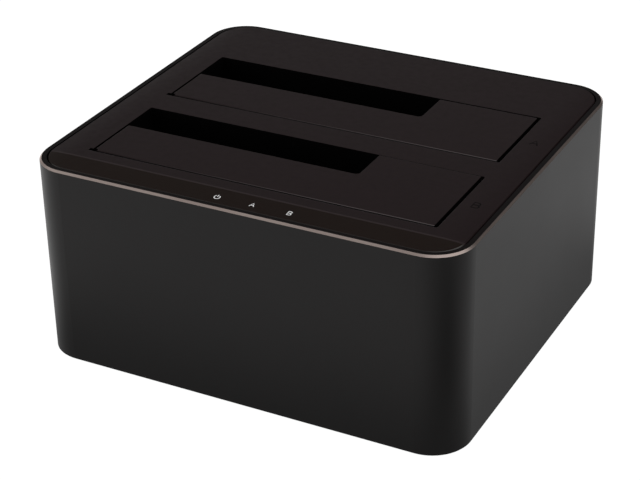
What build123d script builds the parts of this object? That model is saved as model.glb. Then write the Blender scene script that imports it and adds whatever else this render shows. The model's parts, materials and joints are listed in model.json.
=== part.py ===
from build123d import *

import os
from collections import namedtuple
from math import cos, dist, pi, radians, sin, sqrt

# A docking station that holds two hard drives upright, in millimetres.
# X runs to the right, Y to the back and Z up. The origin is on the ground, under the middle of the body.
# Bay a is the rear one and bay b the front one.

# Whole body, outside the bays for the drives, which lie a little right of its middle
side_margin = 12.45
front_margin = 14.3
back_margin = 27.65
bay_shift = 0.45
bay_pitch = 41.35
body_height = 60.4
corner_radius = 11.5
feet_stand = 0.8

# Fits and clearances
cut_overrun = 1.0
sleeve_fit = 0.2
screw_fit = 0.05
pin_fit = 0.04
part_fit = 0.3
running_gap = 0.3

# Drives that the bays take
large_drive_width = 101.6
large_drive_thickness = 26.1
small_drive_width = 69.85
drive_side_play = 1.75
drive_face_play = 1.15
connector_from_drive_side = 30.1
connector_from_drive_face = 3.5

# Sleeve
sleeve_wall = 2.0
rim_chamfer = 0.55
bottom_chamfer = 0.3
port_pitch = 26.0
port_side_margin = 12.0
port_window_height = 18.5
port_window_radius = 3.0
port_window_rise = 6.0

# Top cover
cover_rise = 0.3
cover_gap = 0.35
cover_plate = 2.0
cover_skirt_wall = 1.5
cover_skirt_depth = 8.0
cover_edge_chamfer = 0.25
shoulder_width = 7.0
shoulder_drop = 0.3
strip_depth = 9.6
strip_drop = 0.55
aperture_radius = 0.5
ear_radius = 1.9
ear_length = 3.0
pin_seat = 2.4
pin_notch_width = 0.9
pin_notch_depth = 1.4
post_inset_x = 8.0
post_inset_y = 8.5
post_radius = 3.0
light_skin = 0.5

# Doors
door_edge_radius = 2.0
door_edge_round = 0.6
door_plate = 1.8
door_front_gap = 0.45
door_left_gap = 0.7
door_right_gap = 1.1
rear_door_back_gap = 0.6
front_door_back_gap = 0.2
rear_slot_depth = 13.65
front_slot_depth = 12.85
slot_corner_radius = 1.0
slot_lead_in = 0.4
door_rib_depth = 1.2
door_rib_width = 1.0
door_rib_margin = 1.5
door_rib_count = 7
door_corner_width = 0.8
door_corner_depth = 1.2
stop_tab_width = 4.0
stop_tab_root = 4.0
stop_tab_thickness = 1.2
stop_tab_reach = 0.8
stop_tab_gap = 0.1
stop_tab_shares = (0.22, 0.82)

# Door pins and springs
pin_radius = 0.75
pin_end_chamfer = 0.2
spring_wire_radius = 0.2
spring_wire_sides = 8
spring_bore_gap = 0.2
spring_pitch = 0.85
spring_turns = 4
spring_inset = 3.2
spring_pocket_gap = 0.15
spring_door_leg = 7.0
spring_lean_deg = 12.0
spring_end_room = 0.4

# Bay guides
guide_wall = 1.5
guide_floor = 1.6
guide_ear_radius = 2.6
guide_ear_thickness = 2.0
guide_boss_length = 4.0
front_ear_spread = 60.0
rear_ear_spread = 80.0
side_rib_width = 1.5
side_rib_play = 0.4
side_rib_shares = (0.12, 0.5, 0.88)
back_rib_width = 1.2
back_rib_height = 0.6
back_rib_start = 12.0
back_rib_shares = (0.08, 0.36, 0.64, 0.92)
rib_lead_in = 1.5

# Sockets for the drives
socket_length = 42.0
socket_width = 6.4
socket_body_height = 6.0
socket_nose_length = 38.0
socket_nose_width = 4.6
socket_nose_height = 5.0
socket_nose_chamfer = 0.4
socket_slot_width = 1.5
socket_slot_depth = 4.6
socket_end_wall = 1.8
power_slot_length = 21.0
signal_slot_length = 10.6
slot_divider = 2.6
key_width = 1.4
key_depth = 0.9
contact_pitch = 1.27
contact_width = 0.7
contact_thickness = 0.25
contact_height = 4.2
power_contact_count = 15
signal_contact_count = 7

# Main board
board_side_gap = 11.0
board_front_gap = 1.3
board_back_gap = 2.0
board_thickness = 1.6
board_stand = 4.5
board_corner_radius = 2.0
board_screw_inset_x = 6.0
board_screw_inset_y = 10.0

# Parts on the board
bridge_chip_side = 12.0
bridge_chip_height = 1.2
small_chip_length = 6.0
small_chip_width = 5.0
small_chip_height = 1.6
inductor_side = 7.0
inductor_height = 3.2
inductor_round = 1.5
capacitor_radius = 3.15
capacitor_height = 7.7
capacitor_base_height = 0.8
crystal_length = 11.0
crystal_width = 4.6
crystal_height = 3.6
led_length = 3.0
led_width = 1.6
led_height = 0.8

# Indicators
indicator_first_x = -6.4
indicator_pitch = 10.7
indicator_count = 3
indicator_from_front = 5.6
light_post_side = 2.4
light_bar_height = 3.0
light_bar_drop = 6.0

# Ports at the back
panel_recess = 0.8
panel_flange = 2.0
panel_flange_thickness = 1.5
port_face_recess = 0.2
usb_width = 12.2
usb_height = 13.0
usb_length = 18.0
usb_shell_wall = 0.4
usb_port_width = 8.5
usb_port_height = 7.8
usb_port_bevel = 1.6
usb_upper_width = 5.6
usb_upper_height = 2.8
usb_port_rise = 1.0
usb_port_depth = 9.0
usb_tongue_width = 5.6
usb_tongue_height = 3.2
usb_upper_tongue_width = 4.2
usb_upper_tongue_height = 1.0
jack_width = 9.0
jack_height = 11.0
jack_length = 13.9
jack_axis_rise = 6.5
jack_collar_radius = 4.2
jack_bore_radius = 3.15
jack_bore_depth = 9.5
jack_pin_radius = 1.0
jack_pin_recess = 0.6
jack_pin_root = 2.0
switch_width = 9.0
switch_height = 9.0
switch_length = 10.0
button_radius = 3.4
button_stand = 0.7
button_travel = 1.2
button_round = 0.4
button_lip = 1.0
button_lip_thickness = 1.1
button_stem_side = 2.8
button_stem_length = 7.0
button_stop_gap = 0.1
stem_spare_depth = 1.0

# Base plate and feet
base_recess = 0.5
base_thickness = 2.0
base_boss_radius = 4.2
base_boss_height = 8.3
screw_pocket_depth = 4.0
board_boss_radius = 3.0
vent_count = 9
vent_width = 2.0
vent_length = 36.0
vent_pitch = 6.0
foot_radius = 6.0
foot_inset_x = 17.0
foot_inset_y = 17.5
foot_pocket_depth = 0.6
foot_chamfer = 0.5

# Screws
base_screw_head_radius = 2.75
base_screw_head_height = 2.0
base_screw_shank_radius = 1.4
base_screw_length = 14.0
board_screw_head_radius = 2.4
board_screw_head_height = 1.6
board_screw_shank_radius = 1.2
board_screw_length = 5.6
guide_screw_head_radius = 2.1
guide_screw_head_height = 1.5
guide_screw_shank_radius = 1.0
guide_screw_length = 5.0
pilot_spare_depth = 0.3

# Bays, and the body that they lie in
bay_length = large_drive_width + 2 * drive_side_play
slot_length = small_drive_width + 2 * drive_side_play
bay_depth = door_front_gap + 2 * door_edge_radius + large_drive_thickness + drive_face_play
bay_left = bay_shift - bay_length / 2
bay_right = bay_shift + bay_length / 2
slot_right = bay_left + slot_length
body_width = bay_length + 2 * side_margin
body_depth = front_margin + bay_pitch + bay_depth + back_margin

# Ports in a row along the back
usb_x = 0.0
jack_x = usb_x - port_pitch
switch_x = usb_x + port_pitch
port_window_width = 2 * (port_pitch + port_side_margin)

# Heights
sleeve_bottom = feet_stand
sleeve_top = feet_stand + body_height
cover_top = sleeve_top + cover_rise
plate_under = cover_top - cover_plate
base_bottom = sleeve_bottom + base_recess
base_top = base_bottom + base_thickness
base_boss_top = base_top + base_boss_height
base_screw_seat = base_bottom + screw_pocket_depth
board_bottom = base_top + board_stand
board_top = board_bottom + board_thickness
guide_floor_top = board_top + socket_body_height
guide_floor_under = guide_floor_top - guide_floor
socket_top = guide_floor_top + socket_nose_height
guide_ear_top = plate_under - guide_boss_length
guide_ear_under = guide_ear_top - guide_ear_thickness
port_window_bottom = sleeve_bottom + port_window_rise
port_window_middle = port_window_bottom + port_window_height / 2
jack_axis_z = board_top + jack_axis_rise
button_axis_z = board_top + switch_height / 2

# Outlines of the sleeve's inside and of what slides into it
inner_width = body_width - 2 * sleeve_wall
inner_depth = body_depth - 2 * sleeve_wall
inner_radius = corner_radius - sleeve_wall
inset_width = inner_width - 2 * sleeve_fit
inset_depth = inner_depth - 2 * sleeve_fit
inset_radius = inner_radius - sleeve_fit
cover_width = inner_width - 2 * cover_gap
cover_depth = inner_depth - 2 * cover_gap
cover_radius = inner_radius - cover_gap

# Strip along the cover's front, from its crease to its front edge
strip_crease = -body_depth / 2 + strip_depth
strip_run = strip_crease + cover_depth / 2

# Hinges of the doors
hinge_z = cover_top - door_edge_radius
hinge_setback = door_front_gap + door_edge_radius

# Board's width, between the cover's posts
board_width = inner_width - 2 * board_side_gap

# Planes and faces at the back
back_wall_inside = body_depth / 2 - sleeve_wall
panel_face = body_depth / 2 - panel_recess
panel_inside = back_wall_inside - panel_flange_thickness
port_face = panel_face - port_face_recess

Bay = namedtuple("Bay", "name front slot_depth back_gap")
bay_b_front = -body_depth / 2 + front_margin
bay_b = Bay("b", bay_b_front, front_slot_depth, front_door_back_gap)
bay_a = Bay("a", bay_b_front + bay_pitch, rear_slot_depth, rear_door_back_gap)
bays = (bay_a, bay_b)


def block(x_range, y_range, z_range):
    """A box given by its two limits along each axis."""
    low = (x_range[0], y_range[0], z_range[0])
    size = (x_range[1] - x_range[0], y_range[1] - y_range[0], z_range[1] - z_range[0])
    return Pos(*low) * Box(*size, align=(Align.MIN, Align.MIN, Align.MIN))


def about(middle, size):
    """The two limits of a length centred on a place."""
    return (middle - size / 2, middle + size / 2)


def upright(width, depth, radius, low, high):
    """An upright prism of a rounded rectangle about the origin, from one height to another."""
    return Pos(0, 0, low) * extrude(RectangleRounded(width, depth, radius), high - low)


def rod_x(radius, x_range, y, z):
    """A cylinder along X."""
    length = x_range[1] - x_range[0]
    return Pos(x_range[0] + length / 2, y, z) * Rot(0, 90, 0) * Cylinder(radius, length)


def rod_y(radius, y_range, x, z):
    """A cylinder along Y."""
    length = y_range[1] - y_range[0]
    return Pos(x, y_range[0] + length / 2, z) * Rot(90, 0, 0) * Cylinder(radius, length)


def rod_z(radius, z_range, x, y):
    """A cylinder along Z."""
    length = z_range[1] - z_range[0]
    return Pos(x, y, z_range[0] + length / 2) * Cylinder(radius, length)


def four_corners(x, y):
    """The same place in each quarter of the plan."""
    return [(sx * x, sy * y) for sx in (-1, 1) for sy in (-1, 1)]


def bay_back(bay):
    """The back wall of a bay."""
    return bay.front + bay_depth


def hinge_y(bay):
    """The axis that a bay's door turns about."""
    return bay.front + hinge_setback


def slot_edge(bay):
    """The door's edge along the slot for small drives."""
    return bay_back(bay) - bay.slot_depth


def in_back_wall(width, height, radius, y_range):
    """A rounded block in the back wall, about the middle of the port window."""
    outline = Plane.XZ * RectangleRounded(width, height, radius)
    return Pos(0, y_range[1], port_window_middle) * extrude(outline, y_range[1] - y_range[0])


def sleeve():
    """The aluminium body: an open rounded tube with a cut rim and a window for the ports."""
    tube = upright(body_width, body_depth, corner_radius, sleeve_bottom, sleeve_top)
    tube = chamfer(tube.faces().sort_by(Axis.Z)[-1].edges(), rim_chamfer)
    tube = chamfer(tube.faces().sort_by(Axis.Z)[0].edges(), bottom_chamfer)
    tube -= upright(
        inner_width, inner_depth, inner_radius, sleeve_bottom - cut_overrun, sleeve_top + cut_overrun
    )
    window_reach = (back_wall_inside - cut_overrun, body_depth / 2 + cut_overrun)
    return tube - in_back_wall(port_window_width, port_window_height, port_window_radius, window_reach)


def rear_panel():
    """The plastic panel in the port window, held behind the wall by its flange."""
    panel = in_back_wall(
        port_window_width - 2 * sleeve_fit,
        port_window_height - 2 * sleeve_fit,
        port_window_radius - sleeve_fit,
        (panel_inside, panel_face),
    )
    panel += in_back_wall(
        port_window_width + 2 * panel_flange,
        port_window_height + 2 * panel_flange,
        port_window_radius + panel_flange,
        (panel_inside, back_wall_inside),
    )
    through = (panel_inside - cut_overrun, panel_face + cut_overrun)
    usb_hole = block(
        about(usb_x, usb_width + 2 * part_fit),
        through,
        (board_top - part_fit, board_top + usb_height + part_fit),
    )
    jack_hole = rod_y(jack_collar_radius + part_fit, through, jack_x, jack_axis_z)
    button_hole = rod_y(button_radius + running_gap, through, switch_x, button_axis_z)
    return panel - usb_hole - jack_hole - button_hole


def cover_blank():
    """The cover's outside: a rounded plate with rolled shoulders and a sloping strip at the front."""
    low = plate_under - cover_skirt_depth
    side = cover_width / 2
    back = cover_depth / 2
    shoulder = side - shoulder_width
    edge_z = cover_top - shoulder_drop
    across = [
        Line((-side, edge_z), (-side, low)),
        Line((-side, low), (side, low)),
        Line((side, low), (side, edge_z)),
        TangentArc((shoulder, cover_top), (side, edge_z), tangent=(1, 0)),
        Line((shoulder, cover_top), (-shoulder, cover_top)),
        TangentArc((-shoulder, cover_top), (-side, edge_z), tangent=(-1, 0)),
    ]
    section = Plane.XZ * make_face(across)
    slope = Vector(0, -strip_run, -strip_drop)
    level_part = Pos(0, back, 0) * extrude(section, back - strip_crease)
    strip = Pos(0, strip_crease, 0) * extrude(section, slope.length, dir=slope)
    outline = upright(cover_width, cover_depth, cover_radius, low, cover_top)
    blank = outline & (level_part + strip)
    walls = [face for face in blank.faces() if face.bounding_box().size.Z > cover_plate]
    rim = [edge for wall in walls for edge in wall.edges() if edge.bounding_box().min.Z > plate_under]
    return chamfer(rim, cover_edge_chamfer)


def guide_screw_places(bay):
    """Where a bay guide's four ears are screwed up to the cover."""
    reach = guide_wall + guide_ear_radius + sleeve_fit
    front = [(bay_shift + sx * front_ear_spread / 2, bay.front - reach) for sx in (-1, 1)]
    rear = [(bay_shift + sx * rear_ear_spread / 2, bay_back(bay) + reach) for sx in (-1, 1)]
    return front + rear


def post_places():
    """Where the cover's long posts meet the base plate's bosses."""
    return four_corners(body_width / 2 - post_inset_x, body_depth / 2 - post_inset_y)


def indicator_places():
    """The middles of the three lit marks on the front strip."""
    y = -body_depth / 2 + indicator_from_front
    return [(indicator_first_x + i * indicator_pitch, y) for i in range(indicator_count)]


def bay_aperture(bay):
    """The opening of a bay in the cover, with the little notch beside the left end of the hinge."""
    depth = bay_back(bay) - bay.front
    height = cover_plate + 2 * cut_overrun
    outline = RectangleRounded(bay_length, depth, aperture_radius)
    opening = Pos(bay_shift, bay.front + depth / 2, plate_under - cut_overrun) * extrude(outline, height)
    notch = block(
        (bay_left - pin_notch_width, bay_left + cut_overrun),
        (bay.front, bay.front + pin_notch_depth),
        (plate_under - ear_radius - cut_overrun, cover_top + cut_overrun),
    )
    return opening + notch


def hinge_ears(bay):
    """The half-round ears under the cover that hold the ends of a door's pin."""
    left = rod_x(ear_radius, (bay_left - ear_length, bay_left), hinge_y(bay), hinge_z)
    right = rod_x(ear_radius, (bay_right, bay_right + ear_length), hinge_y(bay), hinge_z)
    return left + right


def pin_way(bay):
    """The blind seat of a pin on the left, and its way in from the right through the cover's skirt."""
    reach = (bay_left - pin_seat, cover_width / 2 + cut_overrun)
    return rod_x(pin_radius + screw_fit, reach, hinge_y(bay), hinge_z)


def light_window(x, y):
    """The pocket under the front strip that thins it to a skin over a light post."""
    side = light_post_side + 2 * sleeve_fit
    strip_z = cover_top - strip_drop * (strip_crease - y) / strip_run
    return block(about(x, side), about(y, side), (plate_under - cut_overrun, strip_z - light_skin))


def top_cover():
    """The plastic top with both bay openings, hinge ears, screw bosses and four long posts."""
    cover = cover_blank()
    cover -= upright(
        cover_width - 2 * cover_skirt_wall,
        cover_depth - 2 * cover_skirt_wall,
        cover_radius - cover_skirt_wall,
        plate_under - cover_skirt_depth - cut_overrun,
        plate_under,
    )
    for x, y in post_places():
        cover += rod_z(post_radius, (base_boss_top, plate_under), x, y)
    for bay in bays:
        for x, y in guide_screw_places(bay):
            cover += rod_z(guide_ear_radius, (guide_ear_top, plate_under), x, y)
        cover += hinge_ears(bay)
    for bay in bays:
        cover -= bay_aperture(bay)
        cover -= pin_way(bay)
        for x, y in guide_screw_places(bay):
            pilot = (guide_ear_top - cut_overrun, guide_ear_under + guide_screw_length + pilot_spare_depth)
            cover -= rod_z(guide_screw_shank_radius + screw_fit, pilot, x, y)
    pilot = (base_boss_top - cut_overrun, base_screw_seat + base_screw_length + pilot_spare_depth)
    for x, y in post_places():
        cover -= rod_z(base_screw_shank_radius + screw_fit, pilot, x, y)
    for x, y in indicator_places():
        cover -= light_window(x, y)
    return cover


def door_limits(bay):
    """The left, right and back edges of a door's plate."""
    return bay_left + door_left_gap, bay_right - door_right_gap, bay_back(bay) - bay.back_gap


def spring_range():
    """Where the wound part of a spring lies along its pin, wire centre to wire centre."""
    start = bay_left + door_left_gap + spring_inset
    return (start, start + (spring_turns + (90 - spring_lean_deg) / 360) * spring_pitch)


def spring_radius():
    """The radius of a spring's coils, to the middle of the wire."""
    return pin_radius + spring_bore_gap + spring_wire_radius


def door_blank(bay):
    """The L-shaped plate of a door, with a square front edge over the round barrel at its hinge."""
    left, right, back = door_limits(bay)
    edge = slot_edge(bay)
    outline = make_face(
        Polyline(
            (left, hinge_y(bay)),
            (right, hinge_y(bay)),
            (right, back),
            (slot_right, back),
            (slot_right, edge),
            (left, edge),
            close=True,
        )
    )
    outline = fillet(outline.vertices().sort_by_distance((slot_right, edge))[0], slot_corner_radius)
    plate = Pos(0, 0, cover_top - door_plate) * extrude(outline, door_plate)
    top_edges = plate.edges().filter_by(Axis.X).group_by(Axis.Z)[-1]
    plate = chamfer(top_edges.sort_by_distance((left, edge, cover_top))[0], slot_lead_in)
    front = hinge_y(bay) - door_edge_radius
    lip = block((left, right), (front, hinge_y(bay)), (hinge_z, cover_top))
    lip = fillet(lip.edges().sort_by_distance((0, front, cover_top))[0], door_edge_round)
    return plate + lip + rod_x(door_edge_radius, (left, right), hinge_y(bay), hinge_z)


def door_ribs(bay):
    """The stiffening ribs under a door, those at the stops carrying the tabs that meet the cover."""
    left, right, back = door_limits(bay)
    under = cover_top - door_plate
    rib_z = (under - door_rib_depth, under)
    ribs = []
    for i in range(door_rib_count):
        x = left + (i + 0.5) * (right - left) / door_rib_count
        end = slot_edge(bay) if x < slot_right + door_rib_width else back
        ribs.append(block(about(x, door_rib_width), (hinge_y(bay), end - door_rib_margin), rib_z))
    slot_rib_y = (slot_edge(bay) - door_rib_margin - door_rib_width, slot_edge(bay) - door_rib_margin)
    ribs.append(block((left + door_rib_margin, slot_right), slot_rib_y, rib_z))
    back_rib_y = (back - door_rib_margin - door_rib_width, back - door_rib_margin)
    ribs.append(block((slot_right + door_rib_margin, right - door_rib_margin), back_rib_y, rib_z))
    return ribs


def stop_tab_x():
    """Where the stop tabs stand along the part of the door beside the slot."""
    right = bay_right - door_right_gap
    return [slot_right + share * (right - slot_right) for share in stop_tab_shares]


def stop_tabs(bay):
    """The tabs that reach under the cover's edge and stop a closing door level with the top."""
    back = door_limits(bay)[2]
    tab_top = plate_under - stop_tab_gap
    tabs = []
    for x in stop_tab_x():
        reach = (back - stop_tab_root, bay_back(bay) + stop_tab_reach)
        tabs.append(block(about(x, stop_tab_width), reach, (tab_top - stop_tab_thickness, tab_top)))
        root = (back - stop_tab_root, back - part_fit)
        tabs.append(block(about(x, stop_tab_width), root, (tab_top, cover_top - door_plate)))
    return tabs


def spring_pocket(bay):
    """The room for the spring in the door's barrel, open below, with a groove for its leg."""
    start, end = spring_range()
    pocket_x = (start - spring_end_room, end + spring_end_room)
    radius = spring_radius() + spring_wire_radius + spring_pocket_gap
    under = cover_top - door_plate
    y = hinge_y(bay)
    pocket = rod_x(radius, pocket_x, y, hinge_z)
    below = (hinge_z - door_edge_radius - cut_overrun, under)
    pocket += block(pocket_x, (y - door_edge_radius - cut_overrun, y + radius), below)
    leg_half = spring_wire_radius + spring_pocket_gap
    groove_top = hinge_z + spring_radius() + leg_half
    groove_x = (end - leg_half, end + leg_half)
    return pocket + block(groove_x, (y, y + spring_door_leg + part_fit), (below[0], groove_top))


def door(bay):
    """A drive bay's sprung flap, closed: it turns down about the pin along its front edge."""
    left, right, _ = door_limits(bay)
    flap = door_blank(bay) + door_ribs(bay) + stop_tabs(bay)
    flap -= rod_x(pin_radius + pin_fit, (left - cut_overrun, right + cut_overrun), hinge_y(bay), hinge_z)
    flap -= spring_pocket(bay)
    corner_y = hinge_y(bay) - door_edge_radius
    corner = block(
        (left - cut_overrun, left + door_corner_width),
        (corner_y - cut_overrun, corner_y + door_corner_depth),
        (hinge_z - door_edge_radius - cut_overrun, cover_top + cut_overrun),
    )
    return flap - corner


def door_pin(bay):
    """The steel rod that a door turns on, held in the cover's ears."""
    reach = (bay_left - pin_seat + pin_end_chamfer, bay_right + ear_length - pin_end_chamfer)
    rod = rod_x(pin_radius, reach, hinge_y(bay), hinge_z)
    return chamfer(rod.edges().filter_by(GeomType.CIRCLE), pin_end_chamfer)


def biarc(start, start_tangent, end, end_tangent):
    """Two arcs that join a pair of points and keep the direction at both."""
    chord = end - start
    tangents = start_tangent + end_tangent
    a = 2 * (1 - start_tangent.dot(end_tangent))
    b = 2 * chord.dot(tangents)
    c = -chord.dot(chord)
    reach = (-b + sqrt(b * b - 4 * a * c)) / (2 * a)
    middle = (start + end + (start_tangent - end_tangent) * reach) / 2
    first = TangentArc(start, middle, tangent=start_tangent)
    second = TangentArc(middle, end, tangent=first % 1)
    return [first, second]


def door_spring(bay):
    """A torsion spring round the pin, one leg under the door and one at the guide's front wall."""
    radius = spring_radius()
    start_x, _ = spring_range()
    y = hinge_y(bay)
    lift = spring_pitch / (2 * pi * radius)
    start_angle = 180 - spring_lean_deg

    def point(turned):
        """The wire's centre after so many degrees of winding."""
        angle = radians(start_angle - turned)
        x = start_x + turned / 360 * spring_pitch
        return Vector(x, y + radius * cos(angle), hinge_z + radius * sin(angle))

    last = spring_turns * 360 + start_angle - 90

    def tangent(turned):
        """The wire's direction there, square to the pin at both ends where the legs begin."""
        angle = radians(start_angle - turned)
        return Vector(lift if 0 < turned < last else 0, sin(angle), -cos(angle)).normalized()

    stops = [180 * i for i in range(int(last // 180) + 1)] + [last]
    wall_play = hinge_setback - spring_wire_radius - sleeve_fit - radius * cos(radians(spring_lean_deg))
    wall_leg = wall_play / sin(radians(spring_lean_deg))
    wire = [Line(point(0) - tangent(0) * wall_leg, point(0))]
    for first, second in zip(stops, stops[1:]):
        wire += biarc(point(first), tangent(first), point(second), tangent(second))
    wire.append(Line(point(last), point(last) + tangent(last) * spring_door_leg))
    path = Wire(wire)
    section = Plane(origin=path @ 0, z_dir=path % 0) * RegularPolygon(spring_wire_radius, spring_wire_sides)
    return sweep(section, path=path)


def spring_self_gap():
    """The least room between the turns of a spring, measured on points two turns long."""
    radius = spring_radius()
    steps = 180
    points = [
        (
            spring_pitch * i / steps,
            radius * cos(2 * pi * i / steps),
            radius * sin(2 * pi * i / steps),
        )
        for i in range(2 * steps)
    ]
    apart = [dist(points[i], points[j]) for i in range(steps) for j in range(i + steps // 2, 2 * steps)]
    return min(apart) - 2 * spring_wire_radius


def guide_ear(bay, x, y):
    """An ear that stands out from a guide's wall, under one of the cover's bosses."""
    levels = (guide_ear_under, guide_ear_top)
    inward = bay.front if y < bay.front else bay_back(bay)
    arm = block(about(x, 2 * guide_ear_radius), (min(y, inward), max(y, inward)), levels)
    return arm + rod_z(guide_ear_radius, levels, x, y)


def guide_screw_hole(x, y):
    """The hole through an ear."""
    levels = (guide_ear_under - cut_overrun, guide_ear_top + cut_overrun)
    return rod_z(guide_screw_shank_radius + sleeve_fit, levels, x, y)


def side_rib(bay, share, side):
    """A low rib that centres a drive between the side walls, clear below the swinging door."""
    top = hinge_z - (bay_back(bay) + stop_tab_reach - hinge_y(bay)) - part_fit - side_rib_width
    inward = large_drive_width / 2 + side_rib_play
    outward = bay_length / 2 + guide_wall / 2
    profile = Polyline(
        (side * outward, guide_floor_top - guide_floor / 2),
        (side * inward, guide_floor_top - guide_floor / 2),
        (side * inward, top - rib_lead_in),
        (side * (bay_length / 2), top),
        (side * outward, top),
        close=True,
    )
    y = bay.front + share * bay_depth
    return Pos(bay_shift, y, 0) * extrude(Plane.XZ * make_face(profile), side_rib_width / 2, both=True)


def back_rib(bay, share):
    """A shallow rib that holds a drive's face off the back wall."""
    top = plate_under - back_rib_start
    face = bay_back(bay) - back_rib_height
    wall = bay_back(bay) + guide_wall / 2
    profile = Polyline(
        (wall, guide_floor_top - guide_floor / 2),
        (face, guide_floor_top - guide_floor / 2),
        (face, top - rib_lead_in),
        (bay_back(bay), top),
        (wall, top),
        close=True,
    )
    x = bay_left + share * bay_length
    return Pos(x, 0, 0) * extrude(Plane.YZ * make_face(profile), back_rib_width / 2, both=True)


def stop_windows(bay):
    """The windows in a guide's back wall that the stop tabs swing out through."""
    arm = bay_back(bay) - hinge_y(bay)
    drop = sqrt((arm + stop_tab_reach) ** 2 - arm**2) + stop_tab_thickness + part_fit + stop_tab_gap
    wall = (bay_back(bay) - cut_overrun / 2, bay_back(bay) + guide_wall + cut_overrun)
    levels = (plate_under - drop, plate_under + cut_overrun)
    return [block(about(x, stop_tab_width + 2 * part_fit), wall, levels) for x in stop_tab_x()]


def socket_place(bay):
    """The middle of a bay's socket, where the connectors of both sizes of drive come down."""
    x = bay_left + drive_side_play + connector_from_drive_side
    y = bay_back(bay) - back_rib_height - connector_from_drive_face
    return x, y


def bay_guide(bay):
    """The chute under a bay that leads a drive down to its socket."""
    outside = (bay_left - guide_wall, bay_right + guide_wall)
    across = (bay.front - guide_wall, bay_back(bay) + guide_wall)
    chute = block(outside, across, (guide_floor_under, plate_under))
    chute = fillet(chute.edges().filter_by(Axis.Z), guide_wall)
    for x, y in guide_screw_places(bay):
        chute += guide_ear(bay, x, y)
    room = (guide_floor_top, plate_under + cut_overrun)
    chute -= block((bay_left, bay_right), (bay.front, bay_back(bay)), room)
    for share in side_rib_shares:
        chute += side_rib(bay, share, -1)
        chute += side_rib(bay, share, 1)
    for share in back_rib_shares:
        chute += back_rib(bay, share)
    for x, y in guide_screw_places(bay):
        chute -= guide_screw_hole(x, y)
    x, y = socket_place(bay)
    chute -= block(
        about(x, socket_length + 2 * part_fit),
        about(y, socket_width + 2 * part_fit),
        (guide_floor_under - cut_overrun, guide_floor_top + cut_overrun),
    )
    for window in stop_windows(bay):
        chute -= window
    ear_room = (plate_under - ear_radius - part_fit, plate_under + cut_overrun)
    chute -= block(
        (bay_left - guide_wall - cut_overrun, bay_right + guide_wall + cut_overrun),
        about(hinge_y(bay), 2 * (ear_radius + part_fit / 2)),
        ear_room,
    )
    return chute


def keyed_slot(bay, start, length):
    """One L-shaped slot in a socket's nose."""
    x, y = socket_place(bay)
    levels = (socket_top - socket_slot_depth, socket_top + cut_overrun)
    slot_x = (x + start, x + start + length)
    slot = block(slot_x, about(y, socket_slot_width), levels)
    key_y = (y, y + socket_slot_width / 2 + key_depth)
    return slot + block((slot_x[1] - key_width, slot_x[1]), key_y, levels)


def slot_starts():
    """Where the power and signal slots begin, from the middle of the socket."""
    power = -socket_nose_length / 2 + socket_end_wall
    return power, power + power_slot_length + slot_divider


def sata_socket(bay):
    """The socket at the foot of a bay: a base on the board and a nose with two keyed slots."""
    x, y = socket_place(bay)
    body = block(about(x, socket_length), about(y, socket_width), (board_top, guide_floor_top))
    nose = block(about(x, socket_nose_length), about(y, socket_nose_width), (guide_floor_top, socket_top))
    nose = chamfer(nose.faces().sort_by(Axis.Z)[-1].edges(), socket_nose_chamfer)
    power, signal = slot_starts()
    slots = keyed_slot(bay, power, power_slot_length) + keyed_slot(bay, signal, signal_slot_length)
    return body + nose - slots


def contact_row(bay, start, length, count):
    """A row of contact strips along the front wall of a slot."""
    x, y = socket_place(bay)
    middle = x + start + (length - key_width) / 2
    strip_y = (y - socket_slot_width / 2, y - socket_slot_width / 2 + contact_thickness)
    foot = socket_top - socket_slot_depth
    places = [middle + (i - (count - 1) / 2) * contact_pitch for i in range(count)]
    return [block(about(place, contact_width), strip_y, (foot, foot + contact_height)) for place in places]


def sata_contacts(bay):
    """The contact strips of one socket: fifteen for power and seven for the signal."""
    power, signal = slot_starts()
    strips = contact_row(bay, power, power_slot_length, power_contact_count)
    strips += contact_row(bay, signal, signal_slot_length, signal_contact_count)
    return Compound(strips)


def board_limits():
    """The front and back edges of the board."""
    return -inner_depth / 2 + board_front_gap, back_wall_inside - board_back_gap


def board_screw_places():
    """The board's four screws."""
    front, back = board_limits()
    x = board_width / 2 - board_screw_inset_x
    ys = (front + board_screw_inset_y, back - board_screw_inset_y)
    return [(sx * x, y) for sx in (-1, 1) for y in ys]


def main_board():
    """The circuit board under both bays."""
    front, back = board_limits()
    outline = RectangleRounded(board_width, back - front, board_corner_radius)
    board = Pos(0, (front + back) / 2, board_bottom) * extrude(outline, board_thickness)
    for x, y in board_screw_places():
        hole = (board_bottom - cut_overrun, board_top + cut_overrun)
        board -= rod_z(board_screw_shank_radius + sleeve_fit, hole, x, y)
    return board


def on_board(x, y, length, width, height):
    """A plain package standing on the board."""
    return block(about(x, length), about(y, width), (board_top, board_top + height))


def bridge_chip():
    """The large controller chip, between the two bays' sockets."""
    x = bay_right / 2
    y = (bay_a.front + bay_back(bay_b)) / 2
    return on_board(x, y, bridge_chip_side, bridge_chip_side, bridge_chip_height)


def flash_chip():
    """The small memory chip beside the controller."""
    x = bay_right / 2 + bridge_chip_side + small_chip_length / 2
    y = (bay_a.front + bay_back(bay_b)) / 2
    return on_board(x, y, small_chip_length, small_chip_width, small_chip_height)


def power_places():
    """The middles of the two power converters, one beside each bay's socket."""
    return [(bay_right / 2, socket_place(bay)[1]) for bay in bays]


def converter_chips():
    """The chips of the two power converters."""
    size = (small_chip_length, small_chip_width, small_chip_height)
    return Compound([on_board(x, y, *size) for x, y in power_places()])


def power_inductors():
    """The coils of the two power converters, in square cases."""
    coils = []
    for x, y in power_places():
        beside = x + small_chip_length + inductor_side / 2
        case = on_board(beside, y, inductor_side, inductor_side, inductor_height)
        coils.append(fillet(case.edges().filter_by(Axis.Z), inductor_round))
    return Compound(coils)


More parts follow.
